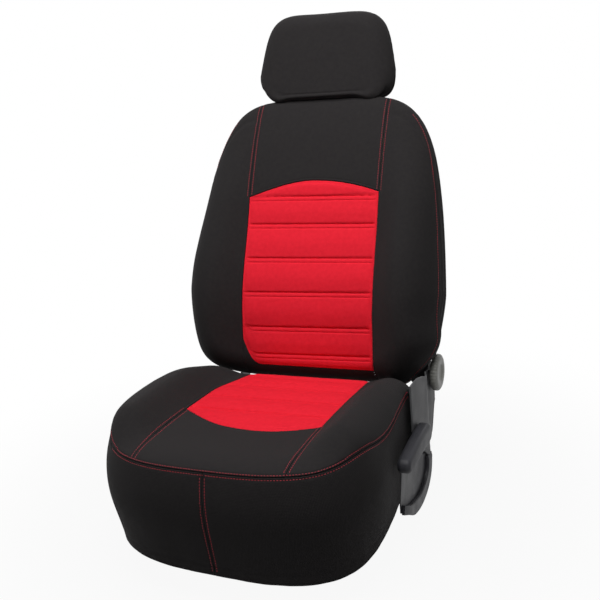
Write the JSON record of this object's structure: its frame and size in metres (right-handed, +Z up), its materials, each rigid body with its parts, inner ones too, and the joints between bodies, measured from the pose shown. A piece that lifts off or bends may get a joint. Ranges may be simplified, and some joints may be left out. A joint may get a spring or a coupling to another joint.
{
  "type": "covered vehicle seat",
  "caption": "Front vehicle seat in a sewn cover set: black padded panels with red quilted inserts, adjustable headrest, reclining backrest, height linkage and slide rails.",
  "frame": {"origin": "middle of the bounding box's underside, on the floor under the seat", "axes": "+X to the seat's right as seen from its front, where the lever is, +Y from the front of the cushion to the rear, +Z up"},
  "size_m": [0.5852, 0.8488, 1.0046],
  "materials": {
    "black_cloth": "matt knitted cloth on foam backing",
    "red_cloth": "matt quilted cloth on foam backing",
    "foam": "open cell foam",
    "painted_steel": "semi-gloss black paint",
    "chromed_steel": "polished",
    "dark_plastic": "fine grain",
    "grey_plastic": "fine grain",
    "elastic": "woven elastic"
  },
  "bodies": {
    "floor": {"lower_rail_left": "painted_steel", "lower_rail_right": "painted_steel", "floor_bar_front": "painted_steel", "floor_bar_rear": "painted_steel"},
    "carriage": {"upper_rail_left": "painted_steel", "upper_rail_right": "painted_steel", "link_bracket_left": "painted_steel", "link_bracket_right": "painted_steel"},
    "front_lift": {"front_lift_tube": "painted_steel", "front_lift_arm_left": "painted_steel", "front_lift_arm_right": "painted_steel"},
    "rear_lift": {"rear_lift_tube": "painted_steel", "rear_lift_arm_left": "painted_steel", "rear_lift_arm_right": "painted_steel"},
    "release": {"slide_release_bar": "painted_steel"},
    "seat": {"seat_member_left": "painted_steel", "seat_member_right": "painted_steel", "recliner_left": "painted_steel", "recliner_right": "painted_steel", "front_lift_pin": "painted_steel", "rear_lift_pin": "painted_steel", "seat_rear_tube": "painted_steel", "seat_pan": "painted_steel", "seat_spring": "painted_steel", "seat_insert": "red_cloth", "seat_front_panel": "black_cloth", "seat_bolster_left": "black_cloth", "seat_bolster_right": "black_cloth", "seat_skirt_left": "black_cloth", "seat_skirt_right": "black_cloth", "hem_elastic": "elastic", "under_strap_front": "elastic", "under_strap_rear": "elastic", "seat_foam": "foam", "side_trim_left": "dark_plastic", "side_trim_right": "dark_plastic", "trim_post_left": "dark_plastic", "trim_post_right": "dark_plastic", "side_lip": "dark_plastic"},
    "backrest": {"back_member_left": "painted_steel", "back_member_right": "painted_steel", "back_top_tube": "painted_steel", "back_low_tube": "painted_steel", "back_spring": "painted_steel", "headrest_guide_left": "dark_plastic", "headrest_guide_right": "dark_plastic", "back_insert": "red_cloth", "back_yoke": "black_cloth", "back_bolster_left": "black_cloth", "back_bolster_right": "black_cloth", "back_rear_panel": "black_cloth", "back_foam": "foam"},
    "headrest": {"headrest_front_panel": "black_cloth", "headrest_rear_panel": "black_cloth", "headrest_foam": "foam", "headrest_rod": "chromed_steel"},
    "button": {"headrest_button": "dark_plastic"},
    "lever": {"height_lever": "dark_plastic"},
    "wheel": {"recline_wheel": "grey_plastic", "recline_shaft": "painted_steel"}
  },
  "joints": [
    {"name": "slide_fore_aft", "type": "slide", "parent": "floor", "child": "carriage", "axis": [0, 1, 0], "range_m": [-0.085, 0.093]},
    {"name": "front_lift", "type": "hinge", "parent": "carriage", "child": "front_lift", "pos_m": [-0.00575, -0.11049, 0.066], "axis": [-1, 0, 0], "range_deg": [0, 32]},
    {"name": "rear_lift", "type": "hinge", "parent": "carriage", "child": "rear_lift", "pos_m": [-0.00575, 0.12451, 0.066], "axis": [-1, 0, 0], "range_deg": [0, 32]},
    {"name": "seat_level", "type": "hinge", "parent": "front_lift", "child": "seat", "pos_m": [-0.00575, -0.19659, 0.10615], "axis": [-1, 0, 0], "range_deg": [-32, 0]},
    {"name": "recline", "type": "hinge", "parent": "seat", "child": "backrest", "pos_m": [-0.00575, 0.16642, 0.24213], "axis": [-1, 0, 0], "range_deg": [-8, 45]},
    {"name": "recline_wheel", "type": "hinge", "parent": "seat", "child": "wheel", "pos_m": [0.26525, 0.16642, 0.24213], "axis": [-1, 0, 0], "range_deg": [-170, 910]},
    {"name": "headrest_height", "type": "slide", "parent": "backrest", "child": "headrest", "axis": [0, 0.2974, 0.9548], "range_m": [0, 0.06]},
    {"name": "headrest_button", "type": "slide", "parent": "backrest", "child": "button", "axis": [-1, 0, 0], "range_m": [0, 0.0027], "stiffness_N_per_m": 600, "springref_m": -0.002},
    {"name": "height_lever", "type": "hinge", "parent": "seat", "child": "lever", "pos_m": [0.26525, -0.02349, 0.188], "axis": [-1, 0, 0], "range_deg": [-20, 20], "stiffness_Nm_per_rad": 8},
    {"name": "slide_release", "type": "hinge", "parent": "carriage", "child": "release", "pos_m": [-0.00575, -0.13049, 0.05335], "axis": [-1, 0, 0], "range_deg": [0, 5], "stiffness_Nm_per_rad": 6, "springref_deg": -5.73}
  ],
  "couplings": [
    {"joint": "rear_lift", "follows": "front_lift", "ratio": 1},
    {"joint": "seat_level", "follows": "front_lift", "ratio": -1},
    {"joint": "recline_wheel", "follows": "recline", "ratio": 20}
  ]
}
